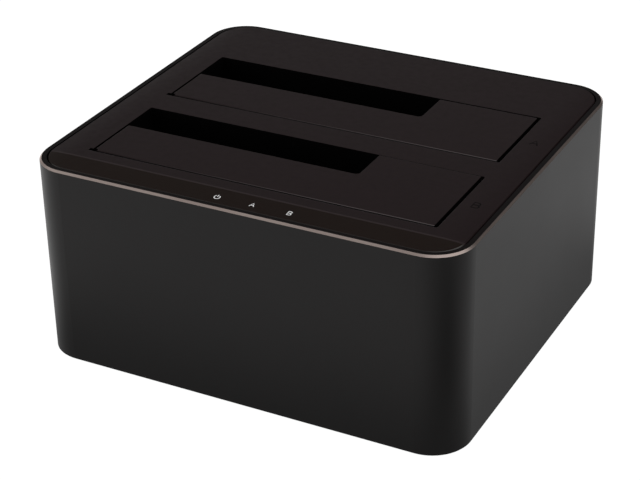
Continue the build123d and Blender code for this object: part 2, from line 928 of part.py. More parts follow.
def filter_capacitors():
    """Four upright cans on square bases, in pairs between the ports."""
    y = panel_inside - usb_length / 2
    cans = []
    for x in (jack_x / 2, switch_x / 2):
        for step in (-1, 1):
            place = x + step * (capacitor_radius + part_fit)
            base = on_board(place, y, 2 * capacitor_radius, 2 * capacitor_radius, capacitor_base_height)
            cans.append(base + rod_z(capacitor_radius, (board_top, board_top + capacitor_height), place, y))
    return Compound(cans)


def crystal():
    """The clock crystal in its low round-ended can."""
    x = bay_right / 2 - bridge_chip_side
    y = (bay_a.front + bay_back(bay_b)) / 2
    outline = RectangleRounded(crystal_length, crystal_width, crystal_width / 2 - part_fit)
    return Pos(x, y, board_top) * extrude(outline, crystal_height)


def status_leds():
    """The three lamps under the light guide."""
    return Compound([on_board(x, y, led_length, led_width, led_height) for x, y in indicator_places()])


def light_guide():
    """Three clear posts on one bar, from the lamps up to the skin of the front strip."""
    foot = board_top + led_height + part_fit
    pillars = None
    for x, y in indicator_places():
        top = light_window(x, y).bounding_box().max.Z - sleeve_fit
        pillar = block(about(x, light_post_side), about(y, light_post_side), (foot, top))
        pillars = pillar if pillars is None else pillars + pillar
    first, last = indicator_places()[0], indicator_places()[-1]
    bar_top = plate_under - light_bar_drop
    levels = (bar_top - light_bar_height, bar_top)
    return pillars + block((first[0], last[0]), about(first[1], light_post_side), levels)


def usb_shell():
    """The folded metal shell of the USB socket, open at the back of the dock."""
    limits = (port_face - usb_length, port_face)
    outside = block(about(usb_x, usb_width), limits, (board_top, board_top + usb_height))
    outside = fillet(outside.edges().filter_by(Axis.Y), usb_shell_wall)
    inside = block(
        about(usb_x, usb_width - 2 * usb_shell_wall),
        (limits[0] + usb_shell_wall, port_face + cut_overrun),
        (board_top + usb_shell_wall, board_top + usb_height - usb_shell_wall),
    )
    return outside - inside


def usb_insert():
    """The plastic inside of the USB socket: the stepped opening of a type B port with its two tongues."""
    low = board_top + usb_shell_wall
    mouth_y = port_face - usb_shell_wall
    insert = block(
        about(usb_x, usb_width - 2 * usb_shell_wall),
        (port_face - usb_length + usb_shell_wall, mouth_y),
        (low, board_top + usb_height - usb_shell_wall),
    )
    floor_z = low + usb_port_rise
    mouth_top = floor_z + usb_port_height
    half = usb_port_width / 2
    step = usb_upper_width / 2
    mouth = Polyline(
        (-half, floor_z),
        (half, floor_z),
        (half, mouth_top - usb_port_bevel),
        (step, mouth_top),
        (step, mouth_top + usb_upper_height),
        (-step, mouth_top + usb_upper_height),
        (-step, mouth_top),
        (-half, mouth_top - usb_port_bevel),
        close=True,
    )
    cavity = Pos(usb_x, mouth_y, 0) * extrude(Plane.XZ * make_face(mouth), usb_port_depth)
    tongue_y = (mouth_y - usb_port_depth, mouth_y - usb_shell_wall)
    tongue_z = about(floor_z + usb_port_height / 2, usb_tongue_height)
    upper_z = about(mouth_top + usb_upper_height / 2, usb_upper_tongue_height)
    insert -= cavity
    insert += block(about(usb_x, usb_tongue_width), tongue_y, tongue_z)
    return insert + block(about(usb_x, usb_upper_tongue_width), tongue_y, upper_z)


def jack_limits():
    """The front and back of the power socket's square body, ahead of the panel."""
    back = panel_inside - sleeve_fit
    return back - jack_length, back


def dc_jack():
    """The power socket: a square body with a round collar through the panel, bored for the plug."""
    jack = block(about(jack_x, jack_width), jack_limits(), (board_top, board_top + jack_height))
    jack += rod_y(jack_collar_radius, (jack_limits()[1], port_face), jack_x, jack_axis_z)
    bore = (port_face - jack_bore_depth, port_face + cut_overrun)
    jack -= rod_y(jack_bore_radius, bore, jack_x, jack_axis_z)
    seat = (port_face - jack_bore_depth - jack_pin_root, port_face)
    return jack - rod_y(jack_pin_radius, seat, jack_x, jack_axis_z)


def dc_jack_pin():
    """The centre pin of the power socket, with a rounded tip."""
    tip = port_face - jack_pin_recess
    pin = rod_y(jack_pin_radius, (port_face - jack_bore_depth - jack_pin_root, tip), jack_x, jack_axis_z)
    return fillet(pin.edges().filter_by(GeomType.CIRCLE).sort_by(Axis.Y)[-1], jack_pin_radius / 2)


def button_lip_back():
    """The outer face of the button's lip, just inside the panel."""
    return panel_inside - button_stop_gap


def switch_back():
    """The switch's outer face, clear of the pressed button's lip."""
    return button_lip_back() - button_lip_thickness - button_travel - part_fit


def power_switch():
    """The push switch on the board, with the square way that the button's stem slides in."""
    body_y = (switch_back() - switch_length, switch_back())
    body = block(about(switch_x, switch_width), body_y, (board_top, board_top + switch_height))
    way = button_stem_side + 2 * running_gap
    stem_end = button_lip_back() - button_lip_thickness - button_stem_length
    way_y = (stem_end - button_travel - stem_spare_depth, switch_back() + cut_overrun)
    return body - block(about(switch_x, way), way_y, about(button_axis_z, way))


def power_button():
    """The round button with its lip behind the panel and its stem in the switch."""
    lip_back = button_lip_back()
    lip_front = lip_back - button_lip_thickness
    cap = rod_y(button_radius, (lip_back, panel_face + button_stand), switch_x, button_axis_z)
    cap = fillet(cap.edges().filter_by(GeomType.CIRCLE).sort_by(Axis.Y)[-1], button_round)
    lip = rod_y(button_radius + button_lip, (lip_front, lip_back), switch_x, button_axis_z)
    stem_y = (lip_front - button_stem_length, lip_front)
    stem = block(about(switch_x, button_stem_side), stem_y, about(button_axis_z, button_stem_side))
    return cap + lip + stem


def foot_places():
    """The middles of the four feet."""
    return four_corners(body_width / 2 - foot_inset_x, body_depth / 2 - foot_inset_y)


def base_plate():
    """The bottom cover: bosses for the posts and the board, pockets for screws and feet, and vents."""
    plate = upright(inset_width, inset_depth, inset_radius, base_bottom, base_top)
    for x, y in post_places():
        plate += rod_z(base_boss_radius, (base_bottom, base_boss_top), x, y)
    for x, y in board_screw_places():
        plate += rod_z(board_boss_radius, (base_bottom, board_bottom), x, y)
    head_pocket = (base_bottom - cut_overrun, base_screw_seat)
    shank_hole = (base_bottom, base_boss_top + cut_overrun)
    for x, y in post_places():
        plate -= rod_z(base_screw_head_radius + part_fit, head_pocket, x, y)
        plate -= rod_z(base_screw_shank_radius + sleeve_fit, shank_hole, x, y)
    pilot = (board_top - board_screw_length - pilot_spare_depth, board_bottom + cut_overrun)
    for x, y in board_screw_places():
        plate -= rod_z(board_screw_shank_radius + screw_fit, pilot, x, y)
    foot_pocket = (base_bottom - cut_overrun, base_bottom + foot_pocket_depth)
    for x, y in foot_places():
        plate -= rod_z(foot_radius + sleeve_fit, foot_pocket, x, y)
    vent = extrude(SlotOverall(vent_length, vent_width, rotation=90), base_thickness + 2 * cut_overrun)
    for i in range(vent_count):
        plate -= Pos((i - (vent_count - 1) / 2) * vent_pitch, 0, base_bottom - cut_overrun) * vent
    return plate


def foot(x, y):
    """A rubber foot in its pocket under the base plate."""
    pad = rod_z(foot_radius, (0, base_bottom + foot_pocket_depth), x, y)
    return chamfer(pad.edges().filter_by(GeomType.CIRCLE).sort_by(Axis.Z)[0], foot_chamfer)


def screw(x, y, seat_z, up, head_radius, head_height, shank_radius, length):
    """A screw whose head bears on a face at one height, with its shank up or down from there."""
    head_z = (seat_z - head_height, seat_z) if up else (seat_z, seat_z + head_height)
    shank_z = (seat_z, seat_z + length) if up else (seat_z - length, seat_z)
    return rod_z(head_radius, head_z, x, y) + rod_z(shank_radius, shank_z, x, y)


def base_screws():
    """The four screws that draw the base plate up to the cover's posts."""
    size = (base_screw_head_radius, base_screw_head_height, base_screw_shank_radius, base_screw_length)
    return Compound([screw(x, y, base_screw_seat, True, *size) for x, y in post_places()])


def board_screws():
    """The four screws that hold the board on its bosses."""
    size = (board_screw_head_radius, board_screw_head_height, board_screw_shank_radius, board_screw_length)
    return Compound([screw(x, y, board_top, False, *size) for x, y in board_screw_places()])


def guide_screws():
    """The eight screws that hold the bay guides up to the cover."""
    size = (guide_screw_head_radius, guide_screw_head_height, guide_screw_shank_radius, guide_screw_length)
    places = [place for bay in bays for place in guide_screw_places(bay)]
    return Compound([screw(x, y, guide_ear_under, True, *size) for x, y in places])


def all_pieces():
    """Every piece of the dock by name."""
    pieces = {
        "sleeve": sleeve(),
        "top_cover": top_cover(),
        "rear_panel": rear_panel(),
        "base_plate": base_plate(),
        "main_board": main_board(),
        "bridge_chip": bridge_chip(),
        "flash_chip": flash_chip(),
        "converter_chips": converter_chips(),
        "power_inductors": power_inductors(),
        "filter_capacitors": filter_capacitors(),
        "crystal": crystal(),
        "status_leds": status_leds(),
        "light_guide": light_guide(),
        "usb_shell": usb_shell(),
        "usb_insert": usb_insert(),
        "dc_jack": dc_jack(),
        "dc_jack_pin": dc_jack_pin(),
        "power_switch": power_switch(),
        "power_button": power_button(),
        "base_screws": base_screws(),
        "board_screws": board_screws(),
        "guide_screws": guide_screws(),
    }
    for bay in bays:
        pieces["bay_guide_" + bay.name] = bay_guide(bay)
        pieces["door_" + bay.name] = door(bay)
        pieces["door_pin_" + bay.name] = door_pin(bay)
        pieces["door_spring_" + bay.name] = door_spring(bay)
        pieces["sata_socket_" + bay.name] = sata_socket(bay)
        pieces["sata_contacts_" + bay.name] = sata_contacts(bay)
    for x, y in foot_places():
        side = "left" if x < 0 else "right"
        end = "front" if y < 0 else "rear"
        pieces[f"foot_{end}_{side}"] = foot(x, y)
    return pieces


def main():
    """Writes one STEP file for each piece."""
    os.makedirs("parts", exist_ok=True)
    for name, piece in all_pieces().items():
        export_step(piece, os.path.join("parts", name + ".step"))
    print("least gap between the turns of a spring", round(spring_self_gap(), 3))


main()
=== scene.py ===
import json
from math import atan2, cos, radians, sin

import bpy
from mathutils import Matrix, Vector


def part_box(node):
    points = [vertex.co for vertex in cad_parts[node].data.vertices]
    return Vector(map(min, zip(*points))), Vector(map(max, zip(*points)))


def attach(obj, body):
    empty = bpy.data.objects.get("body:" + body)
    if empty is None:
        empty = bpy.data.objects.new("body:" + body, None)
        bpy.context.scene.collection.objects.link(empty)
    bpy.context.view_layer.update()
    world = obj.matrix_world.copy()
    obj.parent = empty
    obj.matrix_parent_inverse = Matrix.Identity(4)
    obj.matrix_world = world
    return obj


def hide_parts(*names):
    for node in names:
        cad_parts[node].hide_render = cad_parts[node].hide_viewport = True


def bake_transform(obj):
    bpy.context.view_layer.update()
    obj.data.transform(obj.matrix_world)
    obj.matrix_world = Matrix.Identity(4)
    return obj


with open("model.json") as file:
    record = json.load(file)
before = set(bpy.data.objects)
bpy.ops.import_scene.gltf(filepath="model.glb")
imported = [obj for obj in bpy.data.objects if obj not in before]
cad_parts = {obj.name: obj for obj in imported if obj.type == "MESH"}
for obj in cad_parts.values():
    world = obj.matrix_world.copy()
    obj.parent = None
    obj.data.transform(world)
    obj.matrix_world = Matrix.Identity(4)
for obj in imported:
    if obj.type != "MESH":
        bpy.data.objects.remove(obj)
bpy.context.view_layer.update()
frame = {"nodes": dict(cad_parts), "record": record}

# Every length below is in metres
mm = 0.001

# Body and cover, from the frame
sleeve_low, sleeve_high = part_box("sleeve")
body_front = sleeve_low.y
body_top = sleeve_high.z
cover_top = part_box("top_cover")[1].z
cover_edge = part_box("top_cover")[1].x

# Form of the cover: the slope of its front strip, and its shoulders rounded off at the sides
strip_from_front = 9.6 * mm
strip_slope_run = 7.25 * mm
strip_slope_drop = 0.55 * mm
shoulder_width = 7.0 * mm
shoulder_drop = 0.3 * mm

# Camera, found from the corners of the body in the photograph
camera_place = (217.1 * mm, -418.3 * mm, 281.9 * mm)
camera_azimuth = radians(27.804)
camera_elevation = radians(28.672)
camera_roll = radians(-1.081)
camera_lens = 102.7
camera_sensor = 36.0

# Square lamps: the place, the side and the power of each
lamp_target = (0, 0, 40 * mm)
lamps = {
    "key_lamp": ((0.50, -0.15, 0.80), 1.5, 4.4),
    "fill_lamp": ((-0.75, -0.55, 0.55), 1.2, 1.7),
}

# Backdrop, and the dark room that the body mirrors, with a white sheet low on its left
backdrop_white = 1.0
room_grey = 0.32
dark_room_grey = 0.03
sheet_white = 0.38
sheet_azimuth = radians(188)
sheet_height_shares = (0.02, 0.52)
sheet_side_shares = (-0.02, 0.16)

# Floor, as it is lit and as the camera sees it
floor_size = 6.0
floor_albedo = 0.8
floor_mottle = 0.01
floor_patch_size = 40 * mm
floor_rough = 0.9
floor_gloss = 0.1
floor_shade_share = 0.12
floor_glow = 1.0

# Floor, as the body mirrors it: painted shade that makes it less bright to the right and near its front
# corner, and a painted shadow of the body close to it. Each reach is a distance over which the floor
# brightens again.
# Every place on the floor has no height, so the reach in height only has to differ from zero.
mirrored_left_glow = 1.0
mirrored_right_glow = 0.69
mirrored_fade_x = (45 * mm, 105 * mm)
body_shadow_reach = (44 * mm, 70 * mm, 1.0)
body_shadow_low_share = 0.42
corner_shade_place = (118 * mm, -84 * mm, 0)
corner_shade_reach = 64 * mm
corner_shade_low_share = 0.17

# Noise in the materials: the stretch of its values that is used, and how fine it is
noise_low_share = 0.3
noise_high_share = 0.7
speckle_detail = 1.0
cloud_detail = 2.0
grain_detail = 3.0
bevel_samples = 6

# Sleeve: black dye over a blasted grain, and the bare metal of the edge cut round its top
sleeve_gloss = 0.243
sleeve_gloss_tint = (1.0, 0.965, 0.965, 1.0)
sleeve_rough_range = (0.384, 0.396)
sleeve_rough_size = 12 * mm
sleeve_grain_size = 0.3 * mm
sleeve_grain_height = 0.0005 * mm
dye_size = 20 * mm
dye_blacks = ((0.0040, 0.0038, 0.0038), (0.0055, 0.0053, 0.0052))
speckle_size = 0.35 * mm
speckle_black = (0.0065, 0.0062, 0.0061)
land_tilt_shares = (0.85, 0.95)
land_brown = (0.0050, 0.0028, 0.0028)
cut_tilt_share = cos(radians(45))
cut_tilt_margin_share = 0.12
cut_depth = 1.3 * mm
cut_blur = 0.1 * mm
cut_metals = ((0.62, 0.50, 0.46), (0.72, 0.60, 0.55))
cut_rough = 0.38

# Moulded plastics: colour, roughness, width and height of the grain, gloss, and how uneven the colour is
plastics = {
    "cover_plastic": ((0.0158, 0.0070, 0.0078), 0.40, 0.28 * mm, 0.006 * mm, 0.45, 0.03),
    "door_plastic": ((0.0160, 0.0070, 0.0078), 0.39, 0.28 * mm, 0.006 * mm, 0.45, 0.03),
    "guide_plastic": ((0.0012, 0.0011, 0.0011), 0.70, 0.40 * mm, 0.020 * mm, 0.06, 0.10),
    "socket_plastic": ((0.012, 0.012, 0.012), 0.38, 0.20 * mm, 0.006 * mm, 0.50, 0.10),
    "chip_epoxy": ((0.018, 0.018, 0.019), 0.55, 0.15 * mm, 0.010 * mm, 0.50, 0.10),
    "ferrite": ((0.05, 0.05, 0.053), 0.60, 0.50 * mm, 0.030 * mm, 0.50, 0.10),
    "lamp_white": ((0.85, 0.84, 0.78), 0.30, 0.30 * mm, 0.003 * mm, 0.50, 0.04),
    "port_blue": ((0.015, 0.10, 0.48), 0.32, 0.30 * mm, 0.005 * mm, 0.50, 0.05),
    "jack_plastic": ((0.012, 0.012, 0.012), 0.30, 0.30 * mm, 0.005 * mm, 0.50, 0.10),
    "switch_plastic": ((0.02, 0.02, 0.02), 0.50, 0.30 * mm, 0.010 * mm, 0.50, 0.10),
    "button_plastic": ((0.016, 0.0155, 0.015), 0.42, 0.25 * mm, 0.008 * mm, 0.50, 0.10),
    "panel_plastic": ((0.0115, 0.0105, 0.010), 0.52, 0.30 * mm, 0.014 * mm, 0.50, 0.10),
    "base_plastic": ((0.0135, 0.0125, 0.012), 0.55, 0.35 * mm, 0.018 * mm, 0.50, 0.10),
    "foot_rubber": ((0.02, 0.02, 0.02), 0.82, 0.40 * mm, 0.030 * mm, 0.25, 0.20),
    "mark_white": ((0.80, 0.80, 0.80), 0.45, 0.20 * mm, 0.002 * mm, 0.50, 0.03),
    "mark_dark": ((0.004, 0.0035, 0.0035), 0.70, 0.20 * mm, 0.002 * mm, 0.20, 0.10),
}
plastic_edge_radius = 0.15 * mm
plastic_cloud_size = 14 * mm
plastic_rough_size = 2 * mm
plastic_rough_margin = 0.04
rubber_sheen = 0.15

# Metals: colour, roughness, width and height of the grain, and how its lines are stretched along x, y and z
metals = {
    "gold_contact": ((0.86, 0.62, 0.25), 0.22, 0.3 * mm, 0.002 * mm, (1, 1, 1)),
    "capacitor_can": ((0.72, 0.72, 0.74), 0.30, 0.5 * mm, 0.003 * mm, (1, 1, 1)),
    "crystal_can": ((0.66, 0.66, 0.68), 0.26, 0.4 * mm, 0.003 * mm, (1, 1, 1)),
    "port_steel": ((0.70, 0.70, 0.72), 0.24, 0.6 * mm, 0.004 * mm, (1, 0.1, 1)),
    "jack_pin_steel": ((0.78, 0.77, 0.75), 0.15, 0.3 * mm, 0.001 * mm, (1, 1, 1)),
    "blackened_steel": ((0.16, 0.155, 0.15), 0.34, 0.3 * mm, 0.002 * mm, (1, 1, 1)),
    "spring_steel": ((0.5, 0.5, 0.52), 0.25, 0.1 * mm, 0.001 * mm, (1, 1, 1)),
    "screw_steel": ((0.2, 0.195, 0.19), 0.36, 0.3 * mm, 0.003 * mm, (1, 1, 1)),
}
metal_edge_radius = 0.1 * mm
metal_dark_share = 0.86
metal_rough_less = 0.06
metal_rough_more = 0.08

# Cover and doors: painted shade on the upright walls, which are also left dull, and rounded edges rubbed to a
# shine
top_edge_radius = 0.2 * mm
cover_wall_tilt_shares = (0.15, 0.4)
door_wall_tilt_shares = (0.78, 0.90)
painted_wall_shade = (0.0012, 0.0010, 0.0010)
wall_gloss = 0.06
wall_rough = 0.85
edge_tilt_shares = (0.97, 0.90)
edge_gloss = 1.0
edge_rough = 0.22

# Painted highlight on the door edges, growing between two places, and the strip with its painted crease
# highlight
highlight_tilt_shares = (0.995, 0.960)
highlight_x = (-45 * mm, 35 * mm)
door_edge_highlight = (0.120, 0.100, 0.102)
strip_brown = (0.0150, 0.0075, 0.0048)
strip_edge_blur = 0.1 * mm
crease_highlight = (0.034, 0.022, 0.023)
crease_highlight_width = 0.7 * mm

# Board: solder mask in blocks, with tracks between them
board_block_size = 6 * mm
board_greens = ((0.010, 0.070, 0.035), (0.012, 0.085, 0.042))
board_track_green = (0.020, 0.135, 0.065)
board_track_share = 0.06
board_relief_share = 0.6
board_relief_height = 0.05 * mm
board_rough_size = 4 * mm
board_rough_range = (0.22, 0.34)

# Light guide: slightly clouded acrylic
guide_clear_share = 0.9
guide_index = 1.49
guide_cloud_size = 5 * mm
guide_whites = ((0.86, 0.88, 0.9), (0.95, 0.96, 0.97))
guide_rough_size = 1 * mm
guide_rough_range = (0.04, 0.12)

# Marks on the cover
mark_ink_height = 0.03 * mm
mark_glow = 0.27
indicator_stroke = 0.245 * mm
indicator_height = 1.65 * mm
indicator_x = (-6.5 * mm, 4.15 * mm, 15.15 * mm)
indicator_from_front = 5.6 * mm
letter_stroke = 0.42 * mm
letter_height = 2.9 * mm
bay_letter_x = 57.2 * mm
bay_letter_y = {"a": 13.8 * mm, "b": -27.6 * mm}
stroke_roundness = 3
arc_steps = 14

# Strokes of the marks, as shares of a mark's height about its middle. A bow is an arc: the x and y of its
# middle, its radius, and its first and last angle in degrees.
power_bow_shares = (0, -0.06, 0.50, 125, 415)
power_bar_shares = [(0, 0), (0, 0.6)]
letter_a_leg_shares = [(-0.40, -0.5), (0, 0.5), (0.40, -0.5)]
letter_a_bar_shares = [(-0.26, -0.16), (0.26, -0.16)]
letter_b_top_shares = [(0.04, 0.5)]
letter_b_spine_shares = [(-0.34, 0.5), (-0.34, -0.5), (0.06, -0.5)]
letter_b_waist_shares = [(-0.34, 0.03)]
letter_b_low_bow_shares = (0.06, -0.235, 0.265, -90, 90)
letter_b_high_bow_shares = (0.04, 0.265, 0.235, 90, -90)

# Sockets of the Mix node that it uses for colours, which share their names with others
mix_colour_inputs = (6, 7)
mix_colour_output = 2


def add(tree, kind, inputs=None, **settings):
    """Adds a node, sets its own settings by name and its unlinked inputs."""
    made = tree.nodes.new(kind)
    for name, value in settings.items():
        setattr(made, name, value)
    for name, value in (inputs or {}).items():
        made.inputs[name].default_value = value
    return made


def feed(tree, socket, value):
    """Links an input to a socket, or sets it to a number or a colour."""
    if isinstance(value, bpy.types.NodeSocket):
        tree.links.new(value, socket)
    elif isinstance(value, tuple):
        socket.default_value = (*value, 1.0)
    else:
        socket.default_value = value


def main_shader(material):
    """The shader that a node material starts with."""
    return material.node_tree.nodes["Principled BSDF"]


def new_material(name):
    """An empty node material, its tree and its main shader."""
    material = bpy.data.materials.new(name)
    material.use_nodes = True
    return material, material.node_tree, main_shader(material)


def coordinates(tree):
    """Places on the object, in metres."""
    return add(tree, "ShaderNodeTexCoord").outputs["Object"]


def along(tree, kind, axis):
    """One axis of a texture coordinate, such as the object's own place or normal."""
    parts = add(tree, "ShaderNodeSeparateXYZ")
    tree.links.new(add(tree, "ShaderNodeTexCoord").outputs[kind], parts.inputs["Vector"])
    return parts.outputs[axis]


def noise(tree, size, detail=cloud_detail, place=None):
    """A noise whose spots are about one size across."""
    made = add(tree, "ShaderNodeTexNoise", {"Scale": 1 / size, "Detail": detail})
    tree.links.new(coordinates(tree) if place is None else place, made.inputs["Vector"])
    return made.outputs["Fac"]


def spread(tree, value, low_out, high_out, low_in=noise_low_share, high_in=noise_high_share, smooth=False):
    """Maps a value, such as a noise, onto a range."""
    made = add(
        tree, "ShaderNodeMapRange",
        {"From Min": low_in, "From Max": high_in, "To Min": low_out, "To Max": high_out},
        interpolation_type="SMOOTHSTEP" if smooth else "LINEAR",
    )
    tree.links.new(value, made.inputs["Value"])
    return made.outputs["Result"]


def patches(tree, size, low=0.0, high=1.0, detail=cloud_detail):
    """A value that wanders over a range, in spots about one size across."""
    return spread(tree, noise(tree, size, detail), low, high)


def facing_share(tree, axis, low_in, high_in):
    """Rises from none to all as the surface turns along one of the object's own axes."""
    return spread(tree, along(tree, "Normal", axis), 0.0, 1.0, low_in, high_in)


def place_share(tree, axis, low_in, high_in):
    """Rises from none to all along an axis, from one place to another."""
    return spread(tree, along(tree, "Object", axis), 0.0, 1.0, low_in, high_in)


def product(tree, first, second):
    """Two values multiplied."""
    made = add(tree, "ShaderNodeMath", operation="MULTIPLY")
    tree.links.new(first, made.inputs[0])
    tree.links.new(second, made.inputs[1])
    return made.outputs[0]


def vector_math(tree, operation, first, second=(0, 0, 0)):
    """What comes of a vector socket and a fixed vector: the outputs are named Vector and Value."""
    made = add(tree, "ShaderNodeVectorMath", {1: second}, operation=operation)
    tree.links.new(first, made.inputs[0])
    return made.outputs


def blend_values(tree, factor, first, second):
    """A value that goes from one to another, each a number or a socket."""
    made = add(tree, "ShaderNodeMix", data_type="FLOAT")
    tree.links.new(factor, made.inputs["Factor"])
    feed(tree, made.inputs["A"], first)
    feed(tree, made.inputs["B"], second)
    return made.outputs["Result"]


def blend_colours(tree, factor, first, second):
    """A colour that goes from one to another, each a colour or a socket."""
    made = add(tree, "ShaderNodeMix", data_type="RGBA")
    tree.links.new(factor, made.inputs["Factor"])
    for index, colour in zip(mix_colour_inputs, (first, second)):
        feed(tree, made.inputs[index], colour)
    return made.outputs[mix_colour_output]


def scaled(colour, share):
    """A colour made darker or lighter."""
    return tuple(channel * share for channel in colour)


def relief(tree, shader, height, grain_size, edge_radius=0):
    """Fine grain on the surface, with the edges of the solid softened where a radius is given."""
    bump = add(tree, "ShaderNodeBump", {"Strength": 1.0, "Distance": height})
    tree.links.new(noise(tree, grain_size, grain_detail), bump.inputs["Height"])
    if edge_radius:
        edge = add(tree, "ShaderNodeBevel", {"Radius": edge_radius}, samples=bevel_samples)
        tree.links.new(edge.outputs["Normal"], bump.inputs["Normal"])
    tree.links.new(bump.outputs["Normal"], shader.inputs["Normal"])


def plastic(name, edge_radius=plastic_edge_radius):
    """Moulded plastic from its row in the table: a spark-worn grain, slightly uneven in colour and gloss."""
    colour, rough, grain_size, grain_height, gloss, mottle = plastics[name]
    material, tree, shader = new_material(name)
    shader.inputs["Specular IOR Level"].default_value = gloss
    tint = patches(tree, plastic_cloud_size)
    colours = blend_colours(tree, tint, scaled(colour, 1 - mottle), scaled(colour, 1 + mottle))
    tree.links.new(colours, shader.inputs["Base Color"])
    worn = patches(tree, plastic_rough_size, rough - plastic_rough_margin, rough + plastic_rough_margin)
    tree.links.new(worn, shader.inputs["Roughness"])
    relief(tree, shader, grain_height, grain_size, edge_radius)
    return material


def metal(name):
    """Bare or plated metal from its row in the table, with fine drawn or rolled lines."""
    colour, rough, grain_size, grain_height, stretch = metals[name]
    material, tree, shader = new_material(name)
    shader.inputs["Metallic"].default_value = 1.0
    stretched = add(tree, "ShaderNodeMapping", {"Scale": stretch})
    tree.links.new(coordinates(tree), stretched.inputs["Vector"])
    lines = noise(tree, grain_size, grain_detail, stretched.outputs["Vector"])
    tint = spread(tree, lines, 0.0, 1.0)
    colours = blend_colours(tree, tint, scaled(colour, metal_dark_share), colour)
    tree.links.new(colours, shader.inputs["Base Color"])
    worn = spread(tree, lines, rough - metal_rough_less, rough + metal_rough_more)
    tree.links.new(worn, shader.inputs["Roughness"])
    relief(tree, shader, grain_height, grain_size, metal_edge_radius)
    return material


def cut_edge(tree):
    """All on the slanting edge cut round the sleeve's top, and none elsewhere."""
    tilts = {1: cut_tilt_share, 2: cut_tilt_margin_share}
    leaning = add(tree, "ShaderNodeMath", tilts, operation="COMPARE")
    tree.links.new(facing_share(tree, "Z", 0.0, 1.0), leaning.inputs[0])
    cut_low = body_top - cut_depth
    return product(tree, leaning.outputs[0], place_share(tree, "Z", cut_low, cut_low + cut_blur))


def anodised_sleeve():
    """Black anodised aluminium with a blasted grain, and bare metal on the cut edge round the top."""
    material, tree, shader = new_material("anodised_sleeve")
    shader.inputs["Specular IOR Level"].default_value = sleeve_gloss
    shader.inputs["Specular Tint"].default_value = sleeve_gloss_tint
    cut = cut_edge(tree)
    dye = patches(tree, dye_size)
    black = blend_colours(tree, dye, *dye_blacks)
    black = blend_colours(tree, patches(tree, speckle_size, detail=speckle_detail), black, speckle_black)
    black = blend_colours(tree, facing_share(tree, "Z", *land_tilt_shares), black, land_brown)
    colours = blend_colours(tree, cut, black, blend_colours(tree, dye, *cut_metals))
    tree.links.new(colours, shader.inputs["Base Color"])
    tree.links.new(cut, shader.inputs["Metallic"])
    blasted = patches(tree, sleeve_rough_size, *sleeve_rough_range)
    tree.links.new(blend_values(tree, cut, blasted, cut_rough), shader.inputs["Roughness"])
    relief(tree, shader, sleeve_grain_height, sleeve_grain_size)
    return material


def shade_colour(material, share, colour):
    """Keeps a material's own colour where a share is all, and gives it another one where it is none."""
    tree = material.node_tree
    base = main_shader(material).inputs["Base Color"]
    tree.links.new(blend_colours(tree, share, colour, base.links[0].from_socket), base)


def shade_walls_and_shine_edges(material, wall_tilt_shares):
    """Painted shade on the moulded top's upright walls, left dull, and its round edges rubbed to a shine."""
    tree = material.node_tree
    level = facing_share(tree, "Z", *wall_tilt_shares)
    # Painted shade: upright walls and gap walls take a near-black colour in place of their own
    shade_colour(material, level, painted_wall_shade)
    edge = facing_share(tree, "Z", *edge_tilt_shares)
    gloss = main_shader(material).inputs["Specular IOR Level"]
    shine = spread(tree, edge, gloss.default_value, edge_gloss, 0.0, 1.0)
    tree.links.new(blend_values(tree, level, wall_gloss, shine), gloss)
    rough = main_shader(material).inputs["Roughness"]
    edge_shine = blend_values(tree, edge, rough.links[0].from_socket, edge_rough)
    tree.links.new(blend_values(tree, level, wall_rough, edge_shine), rough)


def brown_strip_and_crease_highlight(material):
    """Gives the cover's front strip a browner tint, and paints a highlight along the crease behind it."""
    tree = material.node_tree
    # Painted highlight: a pale band just behind the strip; then the browner tint of the strip itself
    for colour, width in ((crease_highlight, crease_highlight_width), (strip_brown, 0)):
        end = body_front + strip_from_front + width
        shade_colour(material, place_share(tree, "Y", end, end + strip_edge_blur), colour)


def paint_edge_highlight(material):
    """Paints a highlight on the rounded edges of a door, stronger and stronger towards its right end."""
    tree = material.node_tree
    base = main_shader(material).inputs["Base Color"]
    edge = facing_share(tree, "Z", *highlight_tilt_shares)
    # Painted highlight: a pale colour on the edges that face up and forward, fading out towards the left
    edge_shine = product(tree, edge, place_share(tree, "X", *highlight_x))
    tree.links.new(blend_colours(tree, edge_shine, base.links[0].from_socket, door_edge_highlight), base)


def cover_plastic():
    """The cover's fine matte plastic: browner strip, painted crease highlight, painted shade on dull walls.
    """
    material = plastic("cover_plastic", top_edge_radius)
    shade_walls_and_shine_edges(material, cover_wall_tilt_shares)
    brown_strip_and_crease_highlight(material)
    return material


def door_plastic():
    """The doors' fine matte plastic, with a painted highlight on its edges and painted shade on its dull
    walls.
    """
    material = plastic("door_plastic", top_edge_radius)
    paint_edge_highlight(material)
    shade_walls_and_shine_edges(material, door_wall_tilt_shares)
    return material


def foot_rubber():
    """Matte rubber with a dusty sheen."""
    material = plastic("foot_rubber")
    main_shader(material).inputs["Sheen Weight"].default_value = rubber_sheen
    return material


def board_laminate():
    """Green solder mask over copper tracks that show as slightly lighter lines."""
    material, tree, shader = new_material("board_laminate")
    sizes = {"Scale": 1 / board_block_size, "Mortar Size": board_track_share}
    tracks = add(tree, "ShaderNodeTexBrick", sizes)
    for name, colour in zip(("Color1", "Color2", "Mortar"), (*board_greens, board_track_green)):
        feed(tree, tracks.inputs[name], colour)
    tree.links.new(coordinates(tree), tracks.inputs["Vector"])
    tree.links.new(tracks.outputs["Color"], shader.inputs["Base Color"])
    tree.links.new(patches(tree, board_rough_size, *board_rough_range), shader.inputs["Roughness"])
    bump = add(tree, "ShaderNodeBump", {"Strength": board_relief_share, "Distance": board_relief_height})
    tree.links.new(tracks.outputs["Fac"], bump.inputs["Height"])
    tree.links.new(bump.outputs["Normal"], shader.inputs["Normal"])
    return material


